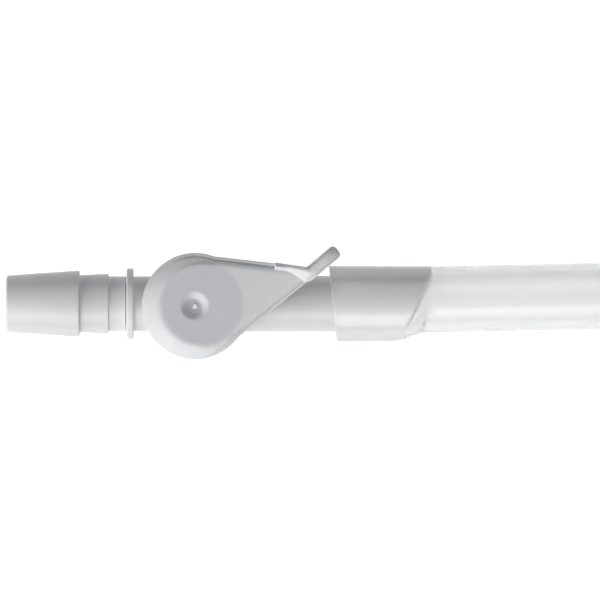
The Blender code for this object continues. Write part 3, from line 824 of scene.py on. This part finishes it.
def make_lever():
    """The teardrop lever: hub, arm, rib and thumb tab melted into one moulded skin."""
    low, high = np.array(GRID_LOW), np.array(GRID_HIGH)
    axes = [np.arange(a, b, GRID) for a, b in zip(low, high)]
    field = lever_field(*np.meshgrid(*axes, indexing="ij"))
    skin = skin_of("lever_field_skin", field, low, GRID)
    gate_radius, gate_height, gate_wire = 0.22 * MM, 14.36 * MM, 0.13 * MM
    around = [FULL_TURN * i / 12 for i in range(12)]
    ring = turned("gate_mark", [(gate_radius + gate_wire * math.cos(a),
                                 gate_height + gate_wire * math.sin(a)) for a in around], segments=32)
    mesh = merged("lever_skin", skin, ring)
    mesh.shade_smooth()
    lever = object_of("lever_skin", mesh, LEVER_WHITE)
    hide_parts("lever")
    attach(lever, "lever")


def tube_centre(x):
    """The (y, z) of the tube's middle line: a slight drift to +Y, and a droop onto the table."""
    nearer = min(x, 66 * MM)
    y = 0.975 * MM + 0.02 * (nearer - 35.25 * MM)
    sink = (AXIS_Z - HEAD_RADIUS) * ease((x - NOSE_END_X) / (130 * MM))
    return y, AXIS_Z - sink


def tube_point(x, angle, outside):
    """A point of the tube's wall, which relaxes where the slanted pipe ends beneath it."""
    across, up = math.cos(angle), math.sin(angle)
    pipe_end = NOSE_END_X + NOSE_RADIUS * across * math.tan(NOSE_END_ANGLE)
    early = 1.1 * MM if outside else 0
    free = ease((x - pipe_end + early) / (4.6 * MM))
    snug, loose = 4.15 * MM, 3.45 * MM
    if outside:
        lip = ease((x - LIP_X) / (8 * MM))
        snug = (5.72 - 0.07 * lip) * MM
        loose = 5.0 * MM
    line_y, line_z = tube_centre(x)
    y = (AXIS_Y + snug * across) * (1 - free) + (line_y + loose * across) * free
    z = (AXIS_Z + snug * up) * (1 - free) + (line_z + loose * up) * free
    skew = 0.103 * (1 - ease((x - LIP_X) / (6 * MM)))
    return Vector((x - skew * (y - AXIS_Y), y, z))


def make_tube():
    """The tube's wall as one closed skin, with close stations over the pipe."""
    segments, fine_count, plain_count = 96, 80, 60
    fine_end = 44 * MM
    stations = [LIP_X + (fine_end - LIP_X) * i / fine_count for i in range(fine_count + 1)]
    stations += [fine_end + (TUBE_END_X - fine_end) * i / plain_count
                 for i in range(1, plain_count + 1)]
    angles = [FULL_TURN * i / segments for i in range(segments)]
    edge = 0.12 * MM
    outer = [[tube_point(x, a, True) for a in angles] for x in stations]
    inner = [[tube_point(x, a, False) for a in angles] for x in stations]
    for ring, shift in ((outer[0], edge), (outer[-1], -edge), (inner[0], edge), (inner[-1], -edge)):
        for point in ring:
            point.x += shift
    lips = []
    for o_ring, i_ring, shift in ((outer[0], inner[0], -edge), (outer[-1], inner[-1], edge)):
        pair = []
        for share in (edge / TUBE_WALL, 1 - edge / TUBE_WALL):
            pair.append([a.lerp(b, share) + Vector((shift, 0, 0)) for a, b in zip(o_ring, i_ring)])
        lips.append(pair)
    rings = outer + lips[1] + list(reversed(inner)) + list(reversed(lips[0]))
    mesh = loft("tube_skin", rings, wrap=True)
    shade(mesh, 50)
    piece = object_of("tube_skin", mesh, TUBING)
    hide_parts("suction_tube")
    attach(piece, "valve")


def make_head():
    """The slotted suction head, a spigot inside the tube and a blunt dome outside."""
    end = TUBE_END_X
    y, z = tube_centre(end)
    tip, wall, mouth = 12.5 * MM, 1.3 * MM, 1.75 * MM
    dome = HEAD_RADIUS - mouth
    outer = arc((mouth, tip - dome), dome, math.pi / 2, 0, 16)
    inner = arc((mouth, tip - dome), dome - wall, 0, math.pi / 2, 12)
    spigot, spigot_bore, spigot_end, back = 3.36 * MM, 2.5 * MM, -9 * MM, 0.1 * MM
    profile = outer + rounded([
        (HEAD_RADIUS, back, 0.9 * MM), (spigot, back, 0), (spigot, spigot_end, 0.4 * MM),
        (spigot_bore, spigot_end, 0.2 * MM), (spigot_bore, 1.4 * MM, 0.2 * MM),
        (HEAD_RADIUS - wall, 1.9 * MM, 0.3 * MM)], 6) + inner
    head = object_of("head_skin", turned("head_skin", profile, along_x(end, y, z)), WHITE)
    slot_from, slot_to, slot_half, slot_count = 3.0 * MM, 9.6 * MM, 0.75 * MM, 6
    outline = rounded([(a, b, 0.7 * MM) for a, b in (
        (slot_from, -slot_half), (slot_to, -slot_half), (slot_to, slot_half), (slot_from, slot_half))])
    slots = []
    for index in range(slot_count):
        angle = math.pi / slot_count + FULL_TURN * index / slot_count
        turn = Matrix.Translation((end, y, z)) @ Matrix.Rotation(angle, 4, "X")
        slots.append(loft(f"slot_{index}", [[turn @ Vector((a, b, h)) for a, b in outline]
                                            for h in (2.2 * MM, 8 * MM)]))
    combine(head, "DIFFERENCE", *slots)
    shade(head.data, 35)
    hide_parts("suction_head")
    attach(head, "valve")


def finish_nodes():
    """Materials for the CAD nodes that stay in view: the turning plug and the seals."""
    for node, material in (("rotor", WHITE), ("rotor_o_ring_front", RUBBER),
                           ("rotor_o_ring_back", RUBBER), ("tail_o_ring", RUBBER)):
        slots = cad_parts[node].data.materials
        slots.clear()
        slots.append(material)


make_camera()
make_studio()
make_table()
make_connector()
make_body()
make_cap()
make_lever()
make_tube()
make_head()
finish_nodes()
